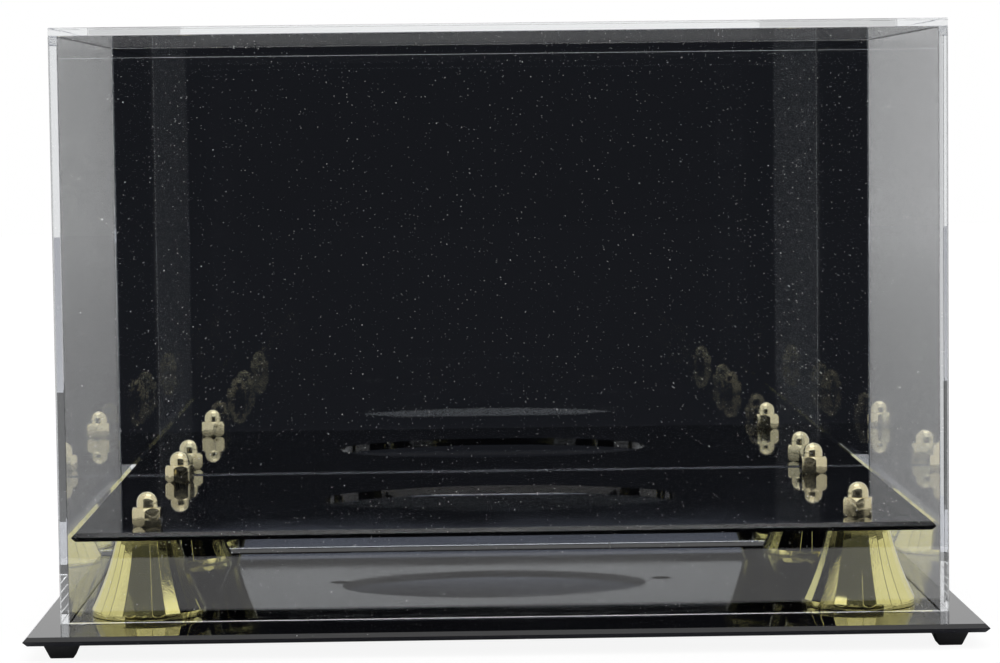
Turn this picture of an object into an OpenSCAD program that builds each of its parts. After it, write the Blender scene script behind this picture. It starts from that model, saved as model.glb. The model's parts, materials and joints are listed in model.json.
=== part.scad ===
// Tabletop display case for a full-size football: a clear lift-off cover with a
// mirrored back, over a raised seat plate on four fluted risers and a footed base.
// +Z is up and the front faces -Y. The origin is on the table, under the middle.

/* [Cover] */
// Inside width of the cover
inner_w = 306; // [250:1:400]
// Inside depth, from the front panel to the mirror
inner_d = 178; // [150:1:260]
// Inside height, from the base plate to the top panel
inner_h = 205; // [150:1:300]
// Thickness of the clear sheets
wall = 3; // [2:0.1:6]
// Thickness of the mirror sheet's clear part
mirror_t = 2.8; // [1.5:0.1:5]
// Thickness of the reflective coat and its paint on the back of the mirror
backing_t = 0.2; // [0.1:0.05:0.5]
// Height of the slit under the mirror
mirror_slit = 0.9; // [0.5:0.1:5]

/* [Base plate] */
// How far the base plate reaches past each side of the cover
side_ledge = 9.5; // [5:0.5:40]
// How far it reaches past the front and the back of the cover
front_ledge = 28.5; // [15:0.5:60]
// Thickness of the base plate
base_t = 3; // [2:0.1:8]
// Flat left between the two bevels on the edge of both plates
edge_land = 0.2; // [0.1:0.1:1]
// Distance between the two fixing holes in the base plate
fixing_span = 122; // [60:1:160]
// Diameter of the two fixing holes
fixing_hole = 7.5; // [3:0.1:12]

/* [Feet] */
// Side of a foot's top face
foot_top = 12.7; // [10:0.1:20]
// Side of a foot's bottom face
foot_bottom = 8; // [5:0.1:9.5]
// Height of a foot
foot_h = 5.5; // [5.3:0.1:12]
// How far a foot stands in from the edges of the base plate
foot_inset = 6; // [4:0.5:15]

/* [Risers] */
// Height of a riser
riser_h = 28.5; // [20:0.5:60]
// Diameter of a riser's foot, across the ridges
riser_bottom = 40.4; // [30:0.2:44]
// Diameter of a riser's top, across the ridges
riser_top = 21.8; // [18:0.2:28]
// Height of the upright lip round a riser's foot
riser_lip = 2.3; // [1:0.1:5]
// Radius of the hollow sweep of a riser's side
flare_r = 110; // [60:5:400]
// Number of pairs of facing flats round a riser
flat_pairs = 6; // [4:1:8]
// How deep the flats are cut below the ridges
flat_depth = 0.3; // [0.1:0.05:0.6]
// Wall of a riser, at its thinnest
riser_wall = 2; // [1.2:0.1:3]
// Thickness of the web that closes a riser's top
riser_web = 3; // [2:0.5:6]
// Gap between a riser and the cover, in front and behind
riser_gap = 0.8; // [0.3:0.1:5]
// Turn of each riser: front left, front right, back left, back right
riser_turns = [15, 4, 12, 15];

/* [Seat plate] */
// Thickness of the seat plate
seat_t = 3; // [2:0.1:8]
// Gap between the seat plate and the cover on every side
seat_gap = 1; // [0.4:0.1:4]
// Length of the oval hole that the ball sits in
oval_l = 133; // [100:1:160]
// Width of the oval hole
oval_w = 80; // [60:1:95]
// Radius of the oval's two round ends
oval_end_r = 28; // [15:1:29]

/* [Fasteners] */
// Nominal diameter of the screws
screw_d = 6; // [4:0.5:8]
// Distance between a screw's axis and the cover's side, inside
screw_side = 26; // [22:0.5:60]
// How far a screw's head reaches past its shank
head_rim = 2.5; // [1.5:0.1:3]
// Height of a screw's head
head_h = 3.2; // [2:0.1:3.5]
// Size of the cross recess, tip to tip
cross_l = 5.6; // [3:0.2:7]
// Width of a slot of the cross recess
cross_w = 1.2; // [0.8:0.1:2]
// Depth of the cross recess
cross_depth = 1.9; // [1:0.1:2]
// How far a washer reaches past the screw's head
washer_rim = 1; // [0.5:0.1:2]
// Thickness of a washer
washer_t = 1; // [0.5:0.1:1.5]
// Thinnest wall of a cap nut's hexagon, from the screw to a flat
nut_wall = 2; // [1.8:0.1:4]
// Height of a cap nut's hexagon
nut_hex_h = 6.8; // [4:0.1:10]
// How far a cap nut's chamfers reach along the corners of its hexagon
nut_chamfer = 1.2; // [0.3:0.1:1.8]
// Wall of a cap nut's dome
dome_wall = 0.75; // [0.6:0.05:1.5]
// Height of the straight part under the dome
dome_neck = 1.6; // [0.5:0.1:4]
// Length of screw inside a cap nut
nut_grip = 7.5; // [5:0.5:8]
// Room left past the end of the screw inside a cap nut
nut_room = 0.2; // [0.1:0.1:0.5]
// Turn of each cap nut: front left, front right, back left, back right
nut_turns = [-5, -13, -20, 6];

/* [Clearances] */
// Radial clearance of a screw in the holes it passes through
hole_clear = 0.3; // [0.1:0.05:0.8]
// Radial clearance of a screw in a cap nut
thread_clear = 0.05; // [0.01:0.01:0.1]

/* [Hidden] */
$fn = 96;
// Finer circle, for a sweep whose radius is far larger than the piece
sweep_fn = 360;
// How far a cutting shape reaches past the piece that it cuts
over = 1;
// Overlap that carries a cavity just past the face that it opens through
eps = 0.01;
corners = ["front_left", "front_right", "rear_left", "rear_right"];
sign_x = [-1, 1, -1, 1];
sign_y = [-1, -1, 1, 1];

// Cover, outside
back_t = mirror_t + backing_t;
outer_w = inner_w + 2 * wall;
outer_d = wall + inner_d + back_t;
front_y = -outer_d / 2;
inner_y = front_y + wall;
mirror_y = inner_y + inner_d;

// Plates
base_w = outer_w + 2 * side_ledge;
base_d = outer_d + 2 * front_ledge;
base_top = foot_h + base_t;
seat_w = inner_w - 2 * seat_gap;
seat_d = inner_d - 2 * seat_gap;
seat_y = inner_y + inner_d / 2;
seat_bottom = base_top + riser_h;
seat_top = seat_bottom + seat_t;

// Screws stand over the risers' centres
screw_x = inner_w / 2 - screw_side;
screw_y = inner_d / 2 - riser_bottom / 2 - riser_gap;
hole_d = screw_d + 2 * hole_clear;
head_d = screw_d + 2 * head_rim;
washer_d = head_d + 2 * washer_rim;

// Cap nuts: inside and outside of the hexagon, and the bore and dome over the screw
nut_bore = screw_d + 2 * thread_clear;
nut_face_r = screw_d / 2 + nut_wall;
nut_corner_r = nut_face_r * 2 / sqrt(3);
dome_r = nut_bore / 2 + dome_wall;
dome_z = nut_hex_h + dome_neck;

// Centre of the circle that sweeps a riser's side from the lip to the top
lip_r = riser_bottom / 2;
top_r = riser_top / 2;
rise = riser_h - riser_lip;
run_in = lip_r - top_r;
chord = sqrt(rise * rise + run_in * run_in);
bow = sqrt(flare_r * flare_r - chord * chord / 4);
flare_x = (lip_r + top_r) / 2 + bow * rise / chord;
flare_z = riser_lip + rise / 2 + bow * run_in / chord;

// Oval: two small end circles joined by two large arcs
end_x = oval_l / 2 - oval_end_r;
side_y = oval_w / 2;
side_gain = side_y - oval_end_r;
side_off = (end_x * end_x - side_gain * side_gain) / (2 * side_gain);
side_r = side_y + side_off;
tangent_x = end_x * side_r / (side_r - oval_end_r);

module at_corner(i) {
  translate([sign_x[i] * screw_x, seat_y + sign_y[i] * screw_y, 0]) children();
}

// Plate with two bevels that meet near the middle of its edge
module plate_profile(w, t) {
  tip = (t - edge_land) / 2;
  polygon([
    [-w / 2 + tip, 0], [w / 2 - tip, 0],
    [w / 2, tip], [w / 2, tip + edge_land],
    [w / 2 - tip, t], [-w / 2 + tip, t],
    [-w / 2, tip + edge_land], [-w / 2, tip]
  ]);
}

module bevelled_plate(w, d, t) {
  intersection() {
    translate([0, d / 2, 0]) rotate([90, 0, 0])
      linear_extrude(height = d) plate_profile(w, t);
    translate([-w / 2, 0, 0]) rotate([90, 0, 90])
      linear_extrude(height = w) plate_profile(d, t);
  }
}

module screw_holes(z, t) {
  for (i = [0:3])
    at_corner(i) translate([0, 0, z - over]) cylinder(h = t + 2 * over, d = hole_d);
}

module base_plate() {
  color("#0b0b0d") difference() {
    translate([0, 0, foot_h]) bevelled_plate(base_w, base_d, base_t);
    screw_holes(foot_h, base_t);
    for (side = [-1, 1])
      translate([side * fixing_span / 2, seat_y, foot_h - over])
        cylinder(h = base_t + 2 * over, d = fixing_hole);
  }
}

module oval() {
  for (side = [-1, 1])
    translate([side * end_x, 0]) circle(r = oval_end_r);
  intersection() {
    translate([0, side_off]) circle(r = side_r);
    translate([0, -side_off]) circle(r = side_r);
    square([2 * tangent_x, oval_w + 2 * over], center = true);
  }
}

module seat_plate() {
  color("#0b0b0d") difference() {
    translate([0, seat_y, seat_bottom]) bevelled_plate(seat_w, seat_d, seat_t);
    screw_holes(seat_bottom, seat_t);
    translate([0, seat_y, seat_bottom - over])
      linear_extrude(height = seat_t + 2 * over) oval();
  }
}

// Four-sided stub that narrows evenly from its top to its bottom
module tapered_side() {
  linear_extrude(height = foot_top, center = true)
    polygon([
      [-foot_bottom / 2, 0], [foot_bottom / 2, 0],
      [foot_top / 2, foot_h], [-foot_top / 2, foot_h]
    ]);
}

module foot(i) {
  x = base_w / 2 - foot_inset - foot_top / 2;
  y = base_d / 2 - foot_inset - foot_top / 2;
  color("#18181a") translate([sign_x[i] * x, sign_y[i] * y, 0])
    intersection() {
      rotate([90, 0, 0]) tapered_side();
      rotate([90, 0, 90]) tapered_side();
    }
}

// Half outline of a riser's side; inset moves it towards the axis
module riser_outline(inset) {
  difference() {
    square([lip_r - inset, riser_h]);
    translate([flare_x - inset, flare_z]) circle(r = flare_r, $fn = sweep_fn);
  }
}

// Round trumpet, with pairs of facing flats cut into it
module riser_body() {
  intersection() {
    rotate_extrude() riser_outline(0);
    intersection_for (i = [0:flat_pairs - 1])
      rotate([0, 0, (i + 0.5) * 180 / flat_pairs]) rotate([90, 0, 0])
        linear_extrude(height = riser_bottom + 2 * over, center = true) {
          riser_outline(flat_depth);
          mirror([1, 0]) riser_outline(flat_depth);
        }
  }
}

module riser(i) {
  cavity_foot = lip_r - 2 * riser_wall;
  cavity_top = top_r - riser_wall;
  cavity_h = riser_h - riser_web;
  color("#c9b44a") at_corner(i) translate([0, 0, base_top]) rotate([0, 0, riser_turns[i]])
    difference() {
      riser_body();
      translate([0, 0, -eps]) cylinder(h = cavity_h + eps, r1 = cavity_foot, r2 = cavity_top);
      translate([0, 0, -over]) cylinder(h = riser_h + 2 * over, d = hole_d);
    }
}

module washer(i) {
  color("#b8b8ba") at_corner(i) translate([0, 0, foot_h - washer_t])
    difference() {
      cylinder(h = washer_t, d = washer_d);
      translate([0, 0, -over]) cylinder(h = washer_t + 2 * over, d = hole_d);
    }
}

// Pan-head machine screw, head down
module screw(i) {
  head_top = foot_h - washer_t;
  shank_h = seat_top + nut_grip - head_top;
  crown_r = (head_d * head_d / 4 + head_h * head_h) / (2 * head_h);
  color("#c4c4c6") at_corner(i) translate([0, 0, head_top])
    difference() {
      union() {
        cylinder(h = shank_h, d = screw_d);
        translate([0, 0, -head_h]) intersection() {
          cylinder(h = head_h, d = head_d);
          translate([0, 0, crown_r]) sphere(r = crown_r);
        }
      }
      for (turn = [0, 90])
        rotate([0, 0, turn])
          translate([-cross_l / 2, -cross_w / 2, -head_h - over])
            cube([cross_l, cross_w, cross_depth + over]);
    }
}

// Half outline of the round solid that trims the corners of a hexagon, top and bottom
module nut_chamfers() {
  polygon([
    [0, 0], [nut_face_r, 0], [nut_corner_r, nut_chamfer],
    [nut_corner_r, nut_hex_h - nut_chamfer], [nut_face_r, nut_hex_h], [0, nut_hex_h]
  ]);
}

// Half outline of a cap nut's dome and the straight part under it
module nut_dome() {
  square([dome_r, dome_z]);
  intersection() {
    translate([0, dome_z]) circle(r = dome_r);
    square([dome_r, dome_z + dome_r]);
  }
}

module cap_nut(i) {
  color("#c8bd92") at_corner(i) translate([0, 0, seat_top])
    rotate([0, 0, nut_turns[i] - 90]) difference() {
      union() {
        intersection() {
          linear_extrude(height = nut_hex_h) circle(r = nut_corner_r, $fn = 6);
          rotate_extrude() nut_chamfers();
        }
        rotate_extrude() nut_dome();
      }
      translate([0, 0, -over]) cylinder(h = nut_grip + nut_room + over, d = nut_bore);
    }
}

module sheet(x, y, z, w, d, h) {
  translate([x - w / 2, y, z]) cube([w, d, h]);
}

module cover_front() {
  color("lightcyan", 0.35) sheet(0, front_y, base_top, outer_w, wall, inner_h);
}

module cover_side(side) {
  color("lightcyan", 0.35)
    sheet(side * (inner_w + wall) / 2, inner_y, base_top, wall, inner_d + back_t, inner_h);
}

module cover_top() {
  color("lightcyan", 0.35) sheet(0, front_y, base_top + inner_h, outer_w, outer_d, wall);
}

module mirror_sheet() {
  color("#3a3d42")
    sheet(0, mirror_y, base_top + mirror_slit, inner_w, mirror_t, inner_h - mirror_slit);
}

module mirror_backing() {
  color("#8a8d90")
    sheet(0, mirror_y + mirror_t, base_top + mirror_slit,
      inner_w, backing_t, inner_h - mirror_slit);
}

base_plate();
seat_plate();
for (i = [0:3]) {
  foot(i);
  riser(i);
  washer(i);
  screw(i);
  cap_nut(i);
}
cover_front();
cover_side(-1);  // cover_left
cover_side(1);  // cover_right
cover_top();
mirror_sheet();
mirror_backing();
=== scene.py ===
# %% [markdown]
# # A football display case
#
# The case is a black footed base, four gold risers that carry a black seat plate, and a clear
# cover with a mirror for a back. Its shapes and sizes were settled in CAD. This lesson gives
# every piece its real finish, remakes the pieces whose edges catch the light, and lights them
# in a small white studio.
#
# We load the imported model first. It is the frame that everything else is placed in, in
# metres, with the front towards -Y.

# %% Load the frame
import json
import math

import bmesh
import bpy
from mathutils import Matrix, Vector


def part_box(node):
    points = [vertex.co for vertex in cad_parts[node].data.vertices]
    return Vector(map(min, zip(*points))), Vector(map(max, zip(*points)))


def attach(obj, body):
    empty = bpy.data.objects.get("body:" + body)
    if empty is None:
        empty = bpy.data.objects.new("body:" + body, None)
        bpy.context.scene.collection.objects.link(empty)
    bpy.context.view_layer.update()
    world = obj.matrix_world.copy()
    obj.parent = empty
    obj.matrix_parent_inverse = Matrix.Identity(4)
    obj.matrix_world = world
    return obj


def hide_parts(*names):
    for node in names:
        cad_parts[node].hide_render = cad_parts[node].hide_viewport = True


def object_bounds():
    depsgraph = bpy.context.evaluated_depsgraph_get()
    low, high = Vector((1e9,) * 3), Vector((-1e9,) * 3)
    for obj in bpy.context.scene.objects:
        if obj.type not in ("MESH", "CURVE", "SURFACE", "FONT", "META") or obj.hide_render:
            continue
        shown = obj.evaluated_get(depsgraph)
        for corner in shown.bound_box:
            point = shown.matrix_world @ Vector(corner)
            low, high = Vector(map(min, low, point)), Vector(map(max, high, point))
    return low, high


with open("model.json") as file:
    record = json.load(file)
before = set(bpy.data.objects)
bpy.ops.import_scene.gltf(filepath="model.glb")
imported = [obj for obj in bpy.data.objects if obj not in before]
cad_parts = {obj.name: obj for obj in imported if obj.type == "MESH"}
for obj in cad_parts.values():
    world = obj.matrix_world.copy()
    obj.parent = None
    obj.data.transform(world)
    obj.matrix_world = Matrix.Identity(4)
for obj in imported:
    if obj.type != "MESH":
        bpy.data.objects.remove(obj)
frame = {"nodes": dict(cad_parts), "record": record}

MM = 0.001
cad_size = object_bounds()
scene = bpy.context.scene
case_low, case_high = cad_size
print("case, mm:", [round(side / MM, 1) for side in case_high - case_low])

# %% [markdown]
# ## The camera
#
# A long lens stands a little over a metre in front, just below the height of the lid, and looks
# down by four degrees. A short lens would bend the case's straight edges apart, and the
# mirror would show less of the nuts behind it.
#
# Blender's camera looks along its own -Z axis. We build the three axes from the turn, the
# downward tilt and the small roll, and put them in one matrix.

# %% Camera
CAMERA_PLACE = Vector((-0.0198, -1.1764, 0.1828))
LENS = 112.24
SENSOR_WIDTH = 36.0
TURN = math.radians(1.0)
LEVEL = math.radians(90)
TILT_DOWN = math.radians(3.877)
ROLL = math.radians(-0.69)

camera_data = bpy.data.cameras.new("camera")
camera_data.lens = LENS
camera_data.sensor_width = SENSOR_WIDTH
camera = bpy.data.objects.new("camera", camera_data)
scene.collection.objects.link(camera)
scene.camera = camera
camera.matrix_world = (
    Matrix.Translation(CAMERA_PLACE)
    @ Matrix.Rotation(-TURN, 4, "Z")
    @ Matrix.Rotation(LEVEL - TILT_DOWN, 4, "X")
    @ Matrix.Rotation(ROLL, 4, "Z")
)
print("camera", [round(v, 3) for v in camera.matrix_world.translation])

# %% [markdown]
# ## Small helpers for materials
#
# Every finish below is a Principled shader with a few texture nodes in front of it. `add` makes
# a node, sets its properties and fills its sockets: a plain value is written into the socket,
# and another node's output is linked to it. That keeps each recipe down to the lines that
# matter.

# %% Node helpers
def new_material(name):
    material = bpy.data.materials.new(name)
    material.use_nodes = True
    return material, material.node_tree, material.node_tree.nodes["Principled BSDF"]


def fill(tree, node, sockets):
    for key, value in sockets.items():
        if isinstance(value, bpy.types.NodeSocket):
            tree.links.new(value, node.inputs[key])
        else:
            node.inputs[key].default_value = value


def add(tree, kind, sockets=None, **settings):
    node = tree.nodes.new("ShaderNode" + kind)
    for key, value in settings.items():
        setattr(node, key, value)
    fill(tree, node, sockets or {})
    return node


def place(tree, scale=(1, 1, 1), turn=(0, 0, 0)):
    """Object coordinates, scaled and then turned, so that a pattern stays fixed to the piece."""
    coordinates = add(tree, "TexCoord")
    sockets = {"Vector": coordinates.outputs["Object"], "Scale": scale, "Rotation": turn}
    return add(tree, "Mapping", sockets).outputs["Vector"]


print("case pieces to finish:", len(frame["nodes"]))

# %% [markdown]
# ## Numbers and colours between nodes
#
# A pattern reaches the shader as a number from 0 to 1. `curve` bends that number through a few
# points, `math_node` does one sum with it, and `mix_colour` turns it into a colour between two
# others. `noise` and `bump` are the pair that nearly every finish ends with: an uneven field,
# and the small relief that it stands for.

# %% Pattern helpers
def curve(tree, value, points):
    """Maps a 0..1 value through points of (place, grey)."""
    ramp = add(tree, "ValToRGB", {"Fac": value})
    stops = ramp.color_ramp.elements
    while len(stops) < len(points):
        stops.new(0.5)
    for stop, (where, grey) in zip(stops, points):
        stop.position = where
        stop.color = (grey, grey, grey, 1)
    return ramp.outputs["Color"]


def math_node(tree, operation, a, b=0.0):
    return add(tree, "Math", {0: a, 1: b}, operation=operation).outputs[0]


def mix_colour(tree, share, a, b):
    node = add(tree, "Mix", data_type="RGBA")
    fill(tree, node, {0: share, 6: a, 7: b})
    return node.outputs[2]


def map_range(tree, value, start, end, at_start, at_end):
    sockets = {0: value, 1: start, 2: end, 3: at_start, 4: at_end}
    return add(tree, "MapRange", sockets).outputs[0]


def noise(tree, per_metre, detail):
    """An uneven field from 0 to 1, with about so many lumps to the metre."""
    sockets = {"Vector": place(tree), "Scale": per_metre, "Detail": detail}
    return add(tree, "TexNoise", sockets).outputs["Fac"]


def bump(tree, height, distance, strength):
    sockets = {"Height": height, "Distance": distance, "Strength": strength}
    return add(tree, "Bump", sockets).outputs["Normal"]


finishes = {}


def keep_finish(slot, material):
    finishes[slot] = material
    print("finish:", slot, "with", len(material.node_tree.nodes), "nodes")


# %% [markdown]
# ## Dust and hairlines
#
# Polished acrylic is never quite clean: it holds charge, so specks of dust sit on it, and a
# cloth leaves fine hairlines. A Voronoi pattern splits space into cells. We keep only a few
# of the cells, by their random colour, and draw a small dot in each, so that no grid shows.
#
# Hairlines are a noise that is stretched a hundred times along X, cut off near its top. We turn
# the noise's own grid away from that direction, because lines that follow the grid repeat.

# %% Dust and hairlines
HAIRLINE_LENGTH = 30 * MM
HAIRLINE_WIDTH = 0.25 * MM
GRID_TURN = (0, 0, math.radians(33))


def dust_layer(tree, cell, share, size):
    """1 on specks and 0 elsewhere. Cell is their spacing in metres, share how many cells
    hold one, size their radius as a share of the cell."""
    cells = add(tree, "TexVoronoi", {"Vector": place(tree), "Scale": 1 / cell})
    chosen = add(tree, "SeparateColor", {"Color": cells.outputs["Color"]})
    kept = math_node(tree, "GREATER_THAN", chosen.outputs[0], 1 - share)
    radius = math_node(tree, "MULTIPLY", chosen.outputs[1], size)
    inside = math_node(tree, "LESS_THAN", cells.outputs["Distance"], radius)
    return math_node(tree, "MULTIPLY", kept, inside)


def dust(tree, coarse, fine):
    return math_node(tree, "MAXIMUM", dust_layer(tree, *coarse), dust_layer(tree, *fine))


def hairlines(tree):
    """Thin broken lines along X, from 0 to 1."""
    across = 1 / HAIRLINE_WIDTH
    stretched = place(tree, (1 / HAIRLINE_LENGTH, across, across), GRID_TURN)
    lines = add(tree, "TexNoise", {"Vector": stretched, "Scale": 1.0, "Detail": 1.0})
    return curve(tree, lines.outputs["Fac"], [(0.74, 0.0), (0.8, 1.0)])


print("hairlines, mm:", HAIRLINE_LENGTH / MM, "by", HAIRLINE_WIDTH / MM)

# %% [markdown]
# ## Black acrylic
#
# The base plate and the seat plate are cast black sheet, polished like glass. Nearly all that
# we see on them is reflection, so the colour is almost black and the roughness almost nought.
# The specks and hairlines are lighter and rougher, which breaks the reflection just enough.

# %% Black acrylic
ACRYLIC_IOR = 1.49
BLACK_DUST = ((3.4 * MM, 0.3, 0.075), (1.3 * MM, 0.22, 0.11))
HAZE_LUMPS = 18.0
HAZE = [(0.35, 0.012), (0.75, 0.05)]
BLACK = (0.004, 0.004, 0.005, 1)
LINT_GREY = (0.3, 0.3, 0.3, 1)
HAIRLINE_SHARE = 0.12
MARK_ROUGHNESS = 0.5


def make_black_acrylic():
    material, tree, shader = new_material("black_acrylic")
    specks = dust(tree, *BLACK_DUST)
    lines = math_node(tree, "MULTIPLY", hairlines(tree), HAIRLINE_SHARE)
    marks = math_node(tree, "MAXIMUM", specks, lines)
    haze = curve(tree, noise(tree, HAZE_LUMPS, 4.0), HAZE)
    colour = mix_colour(tree, marks, BLACK, LINT_GREY)
    roughness = math_node(tree, "ADD", haze, math_node(tree, "MULTIPLY", marks, MARK_ROUGHNESS))
    fill(tree, shader, {"Base Color": colour, "Roughness": roughness, "IOR": ACRYLIC_IOR})
    return material


keep_finish("black_acrylic", make_black_acrylic())

# %% [markdown]
# ## Clear acrylic
#
# The cover's sheets bend light, so they are a transmitting Principled shader with acrylic's
# index of 1.49, and no colour of their own but a faint cool tint. A little of the light is lost
# on the way through the sheet. That is too little to see across 3 mm, but it darkens an edge,
# where the light runs the length of the sheet. Dust is the only thing on them that isn't clear.

# %% Clear acrylic
CLEAR_DUST = ((4.3 * MM, 0.4, 0.06), (1.5 * MM, 0.4, 0.1))
SHEET_TINT = (0.985, 0.99, 0.995, 1)
DUST_WHITE = (0.75, 0.75, 0.74, 1)
DUST_ROUGHNESS = 0.6
DEPTH_TINT = (0.5, 0.53, 0.55, 1)
DEPTH_LOSS = 1.2


def make_clear_acrylic():
    material, tree, shader = new_material("clear_acrylic")
    specks = dust(tree, *CLEAR_DUST)
    clear = math_node(tree, "SUBTRACT", 1.0, specks)
    colour = mix_colour(tree, specks, SHEET_TINT, DUST_WHITE)
    roughness = math_node(tree, "MULTIPLY", specks, DUST_ROUGHNESS)
    fill(tree, shader, {"Base Color": colour, "Roughness": roughness})
    fill(tree, shader, {"IOR": ACRYLIC_IOR, "Transmission Weight": clear})
    depth = add(tree, "VolumeAbsorption", {"Color": DEPTH_TINT, "Density": DEPTH_LOSS})
    tree.links.new(depth.outputs["Volume"], tree.nodes["Material Output"].inputs["Volume"])
    return material


keep_finish("clear_acrylic", make_clear_acrylic())
keep_finish("mirror_face", finishes["clear_acrylic"])

# %% [markdown]
# ## The mirror
#
# An acrylic mirror is a clear sheet with a thin reflective coat behind it and grey paint over
# that. We see the coat through the sheet. The coat's shader is metal where the piece faces the
# front, and paint everywhere else, told apart by the surface's own normal. Sprayed paint has a
# fine grain, so only the paint gets a relief.

# %% Mirror coat and paint
FACES_FRONT = -0.5
COAT_METAL = (0.86, 0.88, 0.9, 1)
SPRAY_LUMPS = 2600.0
PAINT_GREY = [(0.3, 0.1), (0.7, 0.14)]
PAINT_RELIEF = 0.03 * MM
PAINT_ROUGHNESS = 0.55


def make_mirror_coat():
    material, tree, shader = new_material("mirror_coat")
    geometry = add(tree, "NewGeometry")
    facing = add(tree, "SeparateXYZ", {"Vector": geometry.outputs["True Normal"]})
    coat = math_node(tree, "LESS_THAN", facing.outputs["Y"], FACES_FRONT)
    paint = math_node(tree, "SUBTRACT", 1.0, coat)
    spray = noise(tree, SPRAY_LUMPS, 3.0)
    grey = curve(tree, spray, PAINT_GREY)
    colour = mix_colour(tree, coat, grey, COAT_METAL)
    roughness = math_node(tree, "MULTIPLY", paint, PAINT_ROUGHNESS)
    relief = bump(tree, math_node(tree, "MULTIPLY", spray, paint), PAINT_RELIEF, 0.6)
    fill(tree, shader, {"Base Color": colour, "Metallic": coat, "Roughness": roughness})
    fill(tree, shader, {"Normal": relief})
    return material


keep_finish("mirror_paint", make_mirror_coat())

# %% [markdown]
# ## Gold plating
#
# The risers are moulded plastic with a bright lemon-gold metal film. A vacuum film copies every
# flaw of the moulding under it. So the rough flats have a fine orange peel that breaks
# highlights into specks, and the whole riser has a slow wave that bends its reflections. The
# risers carry a number on each point that says where the rough flats are, and the fine peel is
# multiplied by it.

# %% Gold plating
GOLD_DEEP = (0.80, 0.73, 0.27, 1)
GOLD_LIGHT = (0.86, 0.79, 0.34, 1)
PEEL_LUMPS = 1600.0
WAVE_LUMPS = 160.0
WAVE_SHARE = 0.5
GOLD_RELIEF = 0.045 * MM
GOLD_ROUGHNESS = 0.05


def make_gold_plating():
    material, tree, shader = new_material("gold_plating")
    rough_flat = add(tree, "Attribute", attribute_name="peel").outputs["Fac"]
    peel = math_node(tree, "MULTIPLY", noise(tree, PEEL_LUMPS, 1.5), rough_flat)
    wave = noise(tree, WAVE_LUMPS, 1.0)
    height = math_node(tree, "ADD", peel, math_node(tree, "MULTIPLY", wave, WAVE_SHARE))
    colour = mix_colour(tree, wave, GOLD_DEEP, GOLD_LIGHT)
    fill(tree, shader, {"Base Color": colour, "Metallic": 1.0, "Roughness": GOLD_ROUGHNESS})
    fill(tree, shader, {"Normal": bump(tree, height, GOLD_RELIEF, 1.0)})
    return material


keep_finish("gold_plating", make_gold_plating())

# %% [markdown]
# ## Cap nuts
#
# The cap nuts are turned and plated, a paler and greyer yellow than the risers. The film is
# thin, so the turned metal's grain still shows as a faint change of colour and height. One
# noise drives both, so that the colour follows the relief.

# %% Pale brass
BRASS_DEEP = (0.72, 0.63, 0.38, 1)
BRASS_LIGHT = (0.82, 0.74, 0.49, 1)
BRASS_LUMPS = 2500.0
BRASS_RELIEF = 0.01 * MM
BRASS_ROUGHNESS = 0.1


def make_nut_brass():
    material, tree, shader = new_material("nut_brass")
    grain = noise(tree, BRASS_LUMPS, 2.0)
    colour = mix_colour(tree, grain, BRASS_DEEP, BRASS_LIGHT)
    fill(tree, shader, {"Base Color": colour, "Metallic": 1.0, "Roughness": BRASS_ROUGHNESS})
    fill(tree, shader, {"Normal": bump(tree, grain, BRASS_RELIEF, 0.8)})
    return material


keep_finish("nut_brass", make_nut_brass())

# %% [markdown]
# ## Screws and washers
#
# They are plain zinc-plated steel and sit under the base, out of sight until the case is turned
# over. Zinc is patchy rather than grainy, so one coarse noise changes the colour and the
# roughness together, and there is no relief.

# %% Zinc-plated steel
ZINC_DARK = (0.55, 0.56, 0.58, 1)
ZINC_LIGHT = (0.7, 0.71, 0.72, 1)
ZINC_LUMPS = 900.0
ZINC_ROUGHNESS = [(0.3, 0.22), (0.7, 0.4)]


def make_zinc_steel():
    material, tree, shader = new_material("zinc_steel")
    patches = noise(tree, ZINC_LUMPS, 3.0)
    colour = mix_colour(tree, patches, ZINC_DARK, ZINC_LIGHT)
    roughness = curve(tree, patches, ZINC_ROUGHNESS)
    fill(tree, shader, {"Base Color": colour, "Metallic": 1.0, "Roughness": roughness})
    return material


keep_finish("zinc_steel", make_zinc_steel())

# %% [markdown]
# ## Feet
#
# The feet are moulded rubber bumpers. Rubber takes the texture of its mould and is dull all
# over, so a fine noise makes it uneven in colour, roughness and height at once.

# %% Black rubber
RUBBER_DARK = (0.008, 0.008, 0.009, 1)
RUBBER_LIGHT = (0.02, 0.02, 0.021, 1)
RUBBER_LUMPS = 1500.0
RUBBER_ROUGHNESS = [(0.3, 0.5), (0.7, 0.75)]
RUBBER_RELIEF = 0.05 * MM


def make_foot_rubber():
    material, tree, shader = new_material("foot_rubber")
    grain = noise(tree, RUBBER_LUMPS, 4.0)
    colour = mix_colour(tree, grain, RUBBER_DARK, RUBBER_LIGHT)
    roughness = curve(tree, grain, RUBBER_ROUGHNESS)
    fill(tree, shader, {"Base Color": colour, "Roughness": roughness})
    fill(tree, shader, {"Normal": bump(tree, grain, RUBBER_RELIEF, 0.5)})
    return material


keep_finish("foot_rubber", make_foot_rubber())

# %% [markdown]
# ## Finishes on the CAD pieces
#
# The model's record names a slot for each piece. We give every CAD piece the finish of its
# slot, even those that are remade further down. The base plate, the seat plate and the mirror's
# coat keep their CAD meshes, because the plates' polished bevels are part of the CAD shape.

# %% Give the CAD pieces their finishes
def finish_piece(piece, material):
    piece.data.materials.clear()
    piece.data.materials.append(material)


for part in frame["record"]["subparts"]:
    finish_piece(frame["nodes"][part["node"]], finishes[part["material_slot"]])
print(len(frame["nodes"]), "pieces given a finish")

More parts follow.
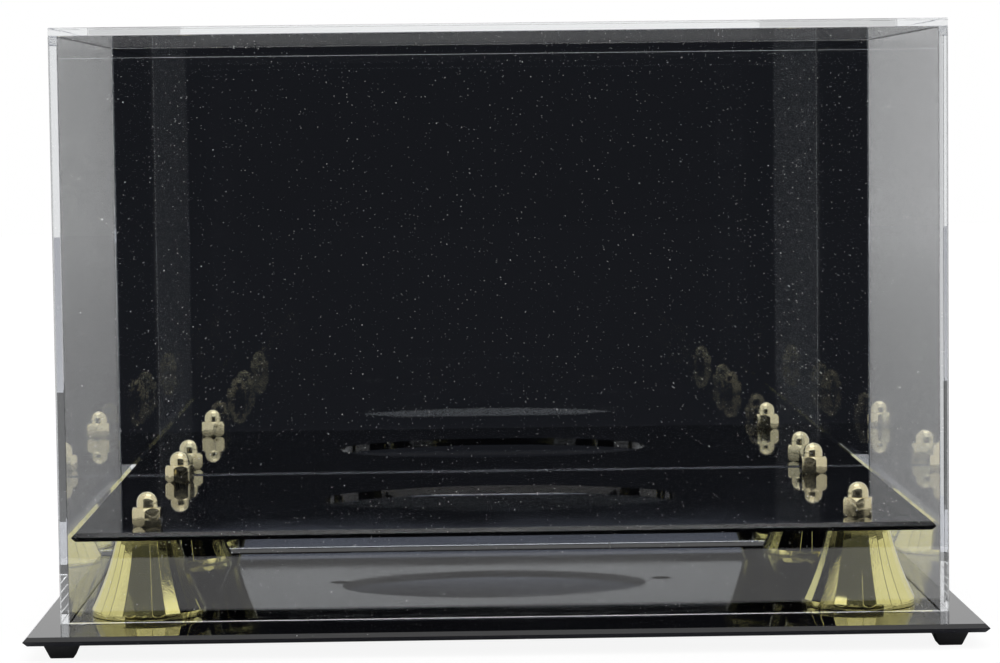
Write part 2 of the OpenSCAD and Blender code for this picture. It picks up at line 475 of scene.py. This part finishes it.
# %% [markdown]
# ## The cover's sheets
#
# A clear sheet shows its edges more than its faces: each edge has been scraped and polished,
# and that narrow bevel is the bright line we see. So each sheet is remade as a box with a fine
# bevel on its edges. Where two sheets are bonded there is no air between them. We let one
# reach a hair into the other, so that light passes from sheet to sheet as it does through a
# real bond. The mirror's glass reaches into its coat in the same way.

# %% Helpers for new pieces
def new_piece(name, shape, material, body, replaced):
    mesh = bpy.data.meshes.new(name)
    shape.to_mesh(mesh)
    shape.free()
    piece = bpy.data.objects.new(name, mesh)
    scene.collection.objects.link(piece)
    finish_piece(piece, material)
    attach(piece, body)
    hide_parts(replaced)
    return piece


def box_mesh(low, high, bevel, segments):
    shape = bmesh.new()
    bmesh.ops.create_cube(shape, size=1.0)
    bmesh.ops.scale(shape, vec=high - low, verts=shape.verts)
    bmesh.ops.translate(shape, vec=(low + high) / 2, verts=shape.verts)
    bmesh.ops.bevel(
        shape, geom=shape.edges[:], offset=bevel, offset_type="OFFSET", segments=segments,
        profile=0.5, affect="EDGES", material=-1,
    )
    return shape


front_low, front_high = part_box("cover_front")
print("front sheet, mm:", [round(side / MM, 1) for side in front_high - front_low])

# %% Cover sheets
POLISHED_EDGE = 0.25 * MM
EDGE_SEGMENTS = 2
BOND = 0.03 * MM
REST_GAP = 0.03 * MM


def clear_sheet(name, node, low_change, high_change):
    low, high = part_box(node)
    low, high = low + Vector(low_change), high + Vector(high_change)
    shape = box_mesh(low, high, POLISHED_EDGE, EDGE_SEGMENTS)
    return new_piece(name, shape, finishes["clear_acrylic"], "cover", node)


clear_sheet("front_sheet", "cover_front", (0, 0, REST_GAP), (0, 0, BOND))
clear_sheet("top_sheet", "cover_top", (0, 0, 0), (0, 0, 0))
for side in ("left", "right"):
    clear_sheet(
        side + "_sheet", "cover_" + side, (0, -BOND, REST_GAP), (0, 0, BOND)
    )
clear_sheet("mirror_glass", "mirror_sheet", (-BOND, 0, 0), (BOND, BOND, BOND))
print("cover sheets reach", BOND / MM, "mm into each other")

# %% [markdown]
# ## Risers
#
# A riser is a little trumpet: a round stem that flares to a foot with an upright lip. Twelve
# rough flats run up it with smooth ones between them, and a fine groove parts each flat from
# the next. Those grooves draw the thin lines up its sides.
#
# Cutting the flats with booleans would give long thin faces that shade badly on bright metal.
# We spin the outline of the trumpet, wall and all, into a closed solid of 120 columns instead,
# and then move the columns. Its foot and top are measured on the CAD piece, and the flare
# between them is an arc of one radius, whose centre we work out here.

# %% Riser measures, taken from the CAD piece
FLARE_R = 110 * MM
LIP_H = 2.3 * MM
BORE_R = 3.3 * MM
SAME_LEVEL = 0.05 * MM


def middle(node):
    low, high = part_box(node)
    return (low + high) / 2


def radius_near(node, height):
    """Largest radius of a node's points that lie at one height, about its own axis."""
    axis = middle(node)
    places = [vert.co for vert in frame["nodes"][node].data.vertices]
    level = [p for p in places if abs(p.z - height) < SAME_LEVEL]
    return max(math.hypot(p.x - axis.x, p.y - axis.y) for p in level)


riser_low, riser_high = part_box("riser_front_left")
riser_h = riser_high.z - riser_low.z
lip_r = radius_near("riser_front_left", riser_low.z)
top_r = radius_near("riser_front_left", riser_high.z)
rise = riser_h - LIP_H
run_in = lip_r - top_r
chord = math.hypot(rise, run_in)
bow = math.sqrt(FLARE_R**2 - chord**2 / 4)
flare_x = (lip_r + top_r) / 2 + bow * rise / chord
flare_z = LIP_H + rise / 2 + bow * run_in / chord
print("riser, mm: foot", round(lip_r / MM, 2), "top", round(top_r / MM, 2))

# %% [markdown]
# ## Spinning the riser
#
# The outline goes up the outside, in at the top, down the bore, under the web, and down the
# inner wall to the foot, where it closes. A full spin leaves a seam where its ends meet, so we
# merge the doubles there, and then point the normals outwards.

# %% Riser outline, spun into a solid
LIP_SOFT = 0.2 * MM
FLARE_STEPS = 18
WALL = 2 * MM
WEB = 3 * MM
DOUBLES = 1e-6


def side_radius(z):
    """Radius of the riser's round outside at a height above its foot."""
    if z <= LIP_H:
        return lip_r
    return flare_x - math.sqrt(FLARE_R**2 - (z - flare_z) ** 2)


def riser_outline():
    heights = [LIP_H + rise * i / FLARE_STEPS for i in range(FLARE_STEPS + 1)]
    points = [(lip_r - LIP_SOFT, 0), (lip_r, LIP_SOFT), (lip_r, LIP_H / 2)]
    points += [(side_radius(z), z) for z in heights]
    points += [(BORE_R, riser_h), (BORE_R, riser_h - WEB), (top_r - WALL, riser_h - WEB)]
    points += [(lip_r - 2 * WALL, 0)]
    return points


def spun(outline, steps):
    shape = bmesh.new()
    ring = [shape.verts.new((r, 0, z)) for r, z in outline]
    edges = [shape.edges.new((a, b)) for a, b in zip(ring, ring[1:] + ring[:1])]
    bmesh.ops.spin(
        shape, geom=ring + edges, axis=(0, 0, 1), cent=(0, 0, 0), angle=math.tau, steps=steps,
        use_merge=True, use_duplicate=False,
    )
    bmesh.ops.remove_doubles(shape, verts=shape.verts, dist=DOUBLES)
    bmesh.ops.recalc_face_normals(shape, faces=shape.faces)
    return shape


print("riser outline:", len(riser_outline()), "points")

# %% [markdown]
# ## Flats and grooves
#
# Each rough flat and its smooth neighbour take ten of the columns. We slide those sideways so
# that they fall on the edges and middles of the grooves, and press them in towards the axis:
# on a flat, the radius shrinks by the cosine of the turn from the flat's middle. A number that
# is stored on each point, named peel, is 1 on the rough flats and 0 elsewhere. The foot of the
# lip is left round, as the flats run out above it.

# %% Flats and grooves
FLATS = 12
COLUMNS = 10
FLAT_EDGE = math.radians(8.2)
RIDGE = math.pi / FLATS
GROOVE_HALF = 0.12 * MM
GROOVE_DEPTH = 0.1 * MM
OUTSIDE_DEPTH = 0.3 * MM
LIP_ROUND = 0.6 * LIP_H
SAME_TURN = 1e-6


def column_turn(column, groove):
    """Angle of a column from the middle of its rough flat. Groove is half a groove's angle."""
    half = [RIDGE, (RIDGE + FLAT_EDGE) / 2, FLAT_EDGE + groove, FLAT_EDGE, FLAT_EDGE - groove, 0]
    if column <= COLUMNS // 2:
        return -half[column]
    return half[COLUMNS - column]


def pressed(radius, turn):
    """Radius of a flat at an angle from the middle of its rough flat, with the grooves cut in."""
    turn = abs(turn)
    if abs(turn - FLAT_EDGE) < SAME_TURN:
        return radius - GROOVE_DEPTH
    if turn < FLAT_EDGE:
        return radius * math.cos(FLAT_EDGE) / math.cos(turn)
    return radius * math.cos(RIDGE - FLAT_EDGE) / math.cos(RIDGE - turn)


def press_flats(shape):
    step = math.tau / (FLATS * COLUMNS)
    peel = shape.verts.layers.float.new("peel")
    for vert in shape.verts:
        radius = math.hypot(vert.co.x, vert.co.y)
        round_r = side_radius(vert.co.z)
        sector, column = divmod(round(math.atan2(vert.co.y, vert.co.x) / step), COLUMNS)
        turn = column_turn(column, GROOVE_HALF / round_r)
        if radius > round_r - OUTSIDE_DEPTH and vert.co.z > LIP_ROUND:
            radius = pressed(radius, turn)
            vert[peel] = float(abs(turn) < FLAT_EDGE - SAME_TURN)
        angle = (sector + 0.5) * math.tau / FLATS + turn
        vert.co.x = radius * math.cos(angle)
        vert.co.y = radius * math.sin(angle)


print("flats:", FLATS, "rough and", FLATS, "smooth,", COLUMNS, "columns to a pair")

# %% [markdown]
# ## Four risers in place
#
# Whoever puts the case together drops each riser on its screw at any angle, so each one has its
# own turn. The outside is smooth-shaded, with edges sharper than twenty degrees kept, so that
# the grooves stay crisp and the flare stays round.

# %% Risers
RISER_TURNS = {"front_left": 15, "front_right": 4, "rear_left": 12, "rear_right": 15}
CORNERS = list(RISER_TURNS)
RISER_SHARP = 20


def smooth_faces(piece, sharp_degrees):
    piece.data.shade_smooth()
    piece.data.set_sharp_from_angle(angle=math.radians(sharp_degrees))


def make_riser(corner):
    node = "riser_" + corner
    axis = middle("screw_" + corner)
    shape = spun(riser_outline(), FLATS * COLUMNS)
    press_flats(shape)
    bmesh.ops.rotate(
        shape, verts=shape.verts, cent=(0, 0, 0),
        matrix=Matrix.Rotation(math.radians(RISER_TURNS[corner]), 3, "Z"),
    )
    bmesh.ops.translate(shape, verts=shape.verts, vec=(axis.x, axis.y, riser_low.z))
    gold = finishes["gold_plating"]
    piece = new_piece(node + "_plated", shape, gold, "stand", node)
    smooth_faces(piece, RISER_SHARP)
    return piece


risers = [make_riser(corner) for corner in CORNERS]
print("risers:", len(risers[0].data.polygons), "faces each")

# %% [markdown]
# ## Softened edges
#
# No real edge is perfectly sharp, and metal shows it most: the eye reads a nut by the thin
# bright lines along its edges. For the small hardware and the feet we take a copy of the CAD
# mesh, merge its loose triangles, melt the flat ones together and bevel every sharp edge.

# %% Softened copies of the CAD pieces
LOOSE_DOUBLES = 0.001 * MM
MELT_ANGLE = math.radians(0.5)
SHARP_ANGLE = math.radians(24)
SOFT_SHARP = 32
SOFT_EDGES = {
    "foot": ("foot_rubber", 0.35 * MM),
    "washer": ("zinc_steel", 0.12 * MM),
    "screw": ("zinc_steel", 0.1 * MM),
    "cap_nut": ("nut_brass", 0.12 * MM),
}


def softened(node, slot, width):
    shape = bmesh.new()
    shape.from_mesh(frame["nodes"][node].data)
    bmesh.ops.remove_doubles(shape, verts=shape.verts, dist=LOOSE_DOUBLES)
    bmesh.ops.dissolve_limit(
        shape, angle_limit=MELT_ANGLE, verts=shape.verts, edges=shape.edges
    )
    sharp = [edge for edge in shape.edges if edge.calc_face_angle(0) > SHARP_ANGLE]
    bmesh.ops.bevel(
        shape, geom=sharp, offset=width, offset_type="OFFSET", segments=2, profile=0.5,
        affect="EDGES", clamp_overlap=True, material=-1,
    )
    piece = new_piece(node + "_soft", shape, finishes[slot], "stand", node)
    smooth_faces(piece, SOFT_SHARP)
    return piece


for part, (slot, width) in SOFT_EDGES.items():
    for corner in CORNERS:
        piece = softened(part + "_" + corner, slot, width)
    print(part, len(piece.data.polygons), "faces")

# %% [markdown]
# ## The studio
#
# The case stands on white paper in a white tent. The tent is open at the front, where the
# camera looks in, and the room beyond it is dark. Black acrylic and a mirror have no look of
# their own, so what they reflect is half of the finish: the dark opening gives the mirror its
# blackness, the tent's sides light the risers, and a bright strip of paper in front of the
# case shows in the base plate and as a thin veil on the front sheet.
#
# The world is the part of the tent that is far away, and it is plain white to the camera and
# to dull surfaces. A mirrored ray that goes back finds the tent's walls in it, and any other
# one finds the room, whose brightness is a curve of how steeply the ray climbs. The room is
# nearly black, but for one narrow bright band where the far end of it has light.

# %% World: the white tent and the room seen through its front
WHITE = (1, 1, 1, 1)
ROOM_TINT = (0.9, 0.95, 1.15, 1)
TENT_OPENS = 0.1
WALL_BY_DEPTH = (0.0, 0.6, 0.75, 1.0)
BOUNCES = 24
MIRROR_BOUNCES = 16
ROOM_BY_CLIMB = [
    (0.0, 0.011), (0.131, 0.012), (0.1325, 0.22), (0.146, 0.22), (0.149, 0.012),
    (0.25, 0.07), (0.7, 0.07), (0.75, 0.7),
]


def seen_in_reflection(tree):
    """1 for a ray that has been mirrored on its way from the camera, and 0 for a direct one."""
    path = add(tree, "LightPath")
    return math_node(tree, "GREATER_THAN", path.outputs["Glossy Depth"], 0.5)


def make_world():
    world = bpy.data.worlds.new("tent")
    world.use_nodes = True
    tree = world.node_tree
    direction = add(tree, "SeparateXYZ", {"Vector": add(tree, "TexCoord").outputs["Generated"]})
    y, z = direction.outputs["Y"], direction.outputs["Z"]
    walls = map_range(tree, y, *WALL_BY_DEPTH)
    room = add(tree, "Mix", data_type="RGBA", blend_type="MULTIPLY")
    fill(tree, room, {0: 1.0, 6: curve(tree, z, ROOM_BY_CLIMB), 7: ROOM_TINT})
    front = math_node(tree, "LESS_THAN", y, TENT_OPENS)
    mirrored = mix_colour(tree, front, walls, room.outputs[2])
    colour = mix_colour(tree, seen_in_reflection(tree), WHITE, mirrored)
    fill(tree, tree.nodes["Background"], {"Color": colour, "Strength": 1.0})
    return world


scene.world = make_world()
scene.view_settings.view_transform = "Standard"
scene.cycles.max_bounces = BOUNCES
scene.cycles.glossy_bounces = MIRROR_BOUNCES
scene.cycles.transmission_bounces = BOUNCES
print("world:", scene.world.name, "with", len(ROOM_BY_CLIMB), "points of brightness")

# %% [markdown]
# ## The floor
#
# The floor is a sheet of white paper. Lit from above alone it would show a horizon and a dark
# shadow, so it also glows from below, for rays that haven't bounced yet. Seen through the
# acrylic that glow is dimmer near the case than far away: a painted shade, standing in for
# paper in the shade of the tent.

# %% Floor
FLOOR_HALF = 4
PAPER_DARK = (0.8, 0.8, 0.8, 1)
PAPER_LIGHT = (0.84, 0.84, 0.84, 1)
GLOW_SHARE = 0.85
GLOW_DIRECT = 1.06
GLOW_BY_DISTANCE = (0.2, 3.5, 0.45, 1.0)
PAPER_LUMPS = 60.0
PAPER_ROUGHNESS = 0.9


def stage_plane(name, corner, along, up, material):
    shape = bmesh.new()
    corners = [corner, corner + along, corner + along + up, corner + up]
    shape.faces.new([shape.verts.new(point) for point in corners])
    mesh = bpy.data.meshes.new(name)
    shape.to_mesh(mesh)
    shape.free()
    plane = bpy.data.objects.new(name, mesh)
    scene.collection.objects.link(plane)
    plane.data.materials.append(material)
    return plane


def make_floor_paper():
    """White paper with a glow for direct sight, and painted shade near the case when seen through
    it.
    """
    material, tree, shader = new_material("floor_paper")
    colour = mix_colour(tree, noise(tree, PAPER_LUMPS, 3.0), PAPER_DARK, PAPER_LIGHT)
    fill(tree, shader, {"Base Color": colour, "Roughness": PAPER_ROUGHNESS})
    path = add(tree, "LightPath")
    bounced = math_node(tree, "ADD", path.outputs["Glossy Depth"], path.outputs["Diffuse Depth"])
    direct = math_node(tree, "LESS_THAN", bounced, 0.5)
    # Painted shade: seen through the acrylic, the glow is dimmed near the case.
    through = math_node(tree, "GREATER_THAN", path.outputs["Transmission Depth"], 0.5)
    back = add(tree, "SeparateXYZ", {"Vector": place(tree)}).outputs["Y"]
    painted_shade_glow = map_range(tree, back, *GLOW_BY_DISTANCE)
    strength = add(tree, "Mix", data_type="FLOAT")
    fill(tree, strength, {0: through, 2: GLOW_DIRECT, 3: painted_shade_glow})
    glow = add(tree, "Emission", {"Color": WHITE, "Strength": strength.outputs[0]})
    share = math_node(tree, "MULTIPLY", direct, GLOW_SHARE)
    both = add(tree, "MixShader", {0: share, 1: shader.outputs[0], 2: glow.outputs[0]})
    tree.links.new(both.outputs[0], tree.nodes["Material Output"].inputs["Surface"])
    return material


stage_plane(
    "floor", Vector((-FLOOR_HALF, -FLOOR_HALF, 0)), Vector((2 * FLOOR_HALF, 0, 0)),
    Vector((0, 2 * FLOOR_HALF, 0)), make_floor_paper(),
)
print("floor:", 2 * FLOOR_HALF, "m square")

# %% [markdown]
# ## Cards that only reflections see
#
# The near parts of the tent have to stand close to the case, because where their edges fall in
# the black plates depends on the distance. Real walls there would hide the case and shade it.
# So they are glowing cards that only a mirrored ray can see: they don't dim the light, and the
# camera looks past them.
#
# Three of them lie just over the floor: a dark stretch out in the room, a bright strip of paper
# in the tent's opening, and a dim one next to the case.

# %% Card material and floor cards
def make_card(name, glow_strength, tint=WHITE):
    """A glowing card that only reflections see."""
    material, tree, shader = new_material(name)
    tree.nodes.remove(shader)
    glow = add(tree, "Emission", {"Color": tint, "Strength": glow_strength})
    clear = add(tree, "BsdfTransparent")
    both = add(tree, "MixShader", {1: clear.outputs[0], 2: glow.outputs[0]})
    fill(tree, both, {0: seen_in_reflection(tree)})
    tree.links.new(both.outputs[0], tree.nodes["Material Output"].inputs["Surface"])
    return material


ROOM_GLOW = 0.0115
BRIGHT_GLOW = 0.8
NEAR_GLOW = 0.05
BRIGHT_FRONT = -0.31
BRIGHT_BACK = -0.165
NEAR_BACK = BRIGHT_BACK + 0.04
CARD_HEIGHT = 1 * MM
CARD_HALF = 0.9


def floor_card(name, front, back, material):
    return stage_plane(
        name, Vector((-CARD_HALF, front, CARD_HEIGHT)), Vector((2 * CARD_HALF, 0, 0)),
        Vector((0, back - front, 0)), material,
    )


dark_room = make_card("dark_room", ROOM_GLOW, ROOM_TINT)
paper_bright = make_card("paper_bright", BRIGHT_GLOW)
paper_near = make_card("paper_near", NEAR_GLOW)
cards = [
    floor_card("dark_floor", -FLOOR_HALF, BRIGHT_FRONT, dark_room),
    floor_card("paper_bright", BRIGHT_FRONT, BRIGHT_BACK, paper_bright),
    floor_card("paper_near", BRIGHT_BACK, NEAR_BACK, paper_near),
]
print("bright paper, mm in front of the case:", round((case_low.y - BRIGHT_BACK) / MM, 1))

# %% [markdown]
# ## The tent's walls
#
# A low dim card stands behind the case, for what the plates mirror at a grazing angle there.
# The upper part of the tent's front hangs above the camera's line of sight, and the two side
# walls give the risers their bright flanks.

# %% Upright cards
BACK_GLOW = 0.2
TOP_GLOW = 1.3
SIDE_GLOW = 0.75
BACK_Y = 0.32
BACK_HALF = 0.15
BACK_HIGH = 0.06
TOP_Y = -0.284
TOP_LOW = 0.26
TOP_HALF = 2.5
SIDE_X = 0.2
SIDE_FRONT = -0.153
SIDE_LONG = 1.2
SIDE_HIGH = 0.6

cards.append(stage_plane(
    "paper_back", Vector((-BACK_HALF, BACK_Y, 0)), Vector((2 * BACK_HALF, 0, 0)),
    Vector((0, 0, BACK_HIGH)), make_card("paper_back", BACK_GLOW),
))
cards.append(stage_plane(
    "tent_top", Vector((-TOP_HALF, TOP_Y, TOP_LOW)), Vector((2 * TOP_HALF, 0, 0)),
    Vector((0, 0, TOP_HALF)), make_card("tent_top", TOP_GLOW),
))
tent_side = make_card("tent_side", SIDE_GLOW)
for side, x in (("left", -SIDE_X), ("right", SIDE_X)):
    cards.append(stage_plane(
        "wall_" + side, Vector((x, SIDE_FRONT, 0)), Vector((0, SIDE_LONG, 0)),
        Vector((0, 0, SIDE_HIGH)), tent_side,
    ))
for card in cards:
    card.visible_camera = False
    card.visible_diffuse = False
    card.visible_shadow = False
print("cards:", [card.name for card in cards])

# %% [markdown]
# ## The lamp
#
# The white world lights the case from all sides. One wide soft lamp overhead adds a little
# more from above, which is what gives the feet and the base their faint shadow on the paper.

# %% Soft light overhead
LAMP_SIZE = (1.4, 0.9)
LAMP_ENERGY = 4.5
LAMP_PLACE = (0, -0.1, 1.3)

light = bpy.data.lights.new("overhead", "AREA")
light.shape = "RECTANGLE"
light.size, light.size_y = LAMP_SIZE
light.energy = LAMP_ENERGY
lamp = bpy.data.objects.new("overhead", light)
scene.collection.objects.link(lamp)
lamp.location = LAMP_PLACE
print("studio ready: lamp of", LAMP_ENERGY, "W")
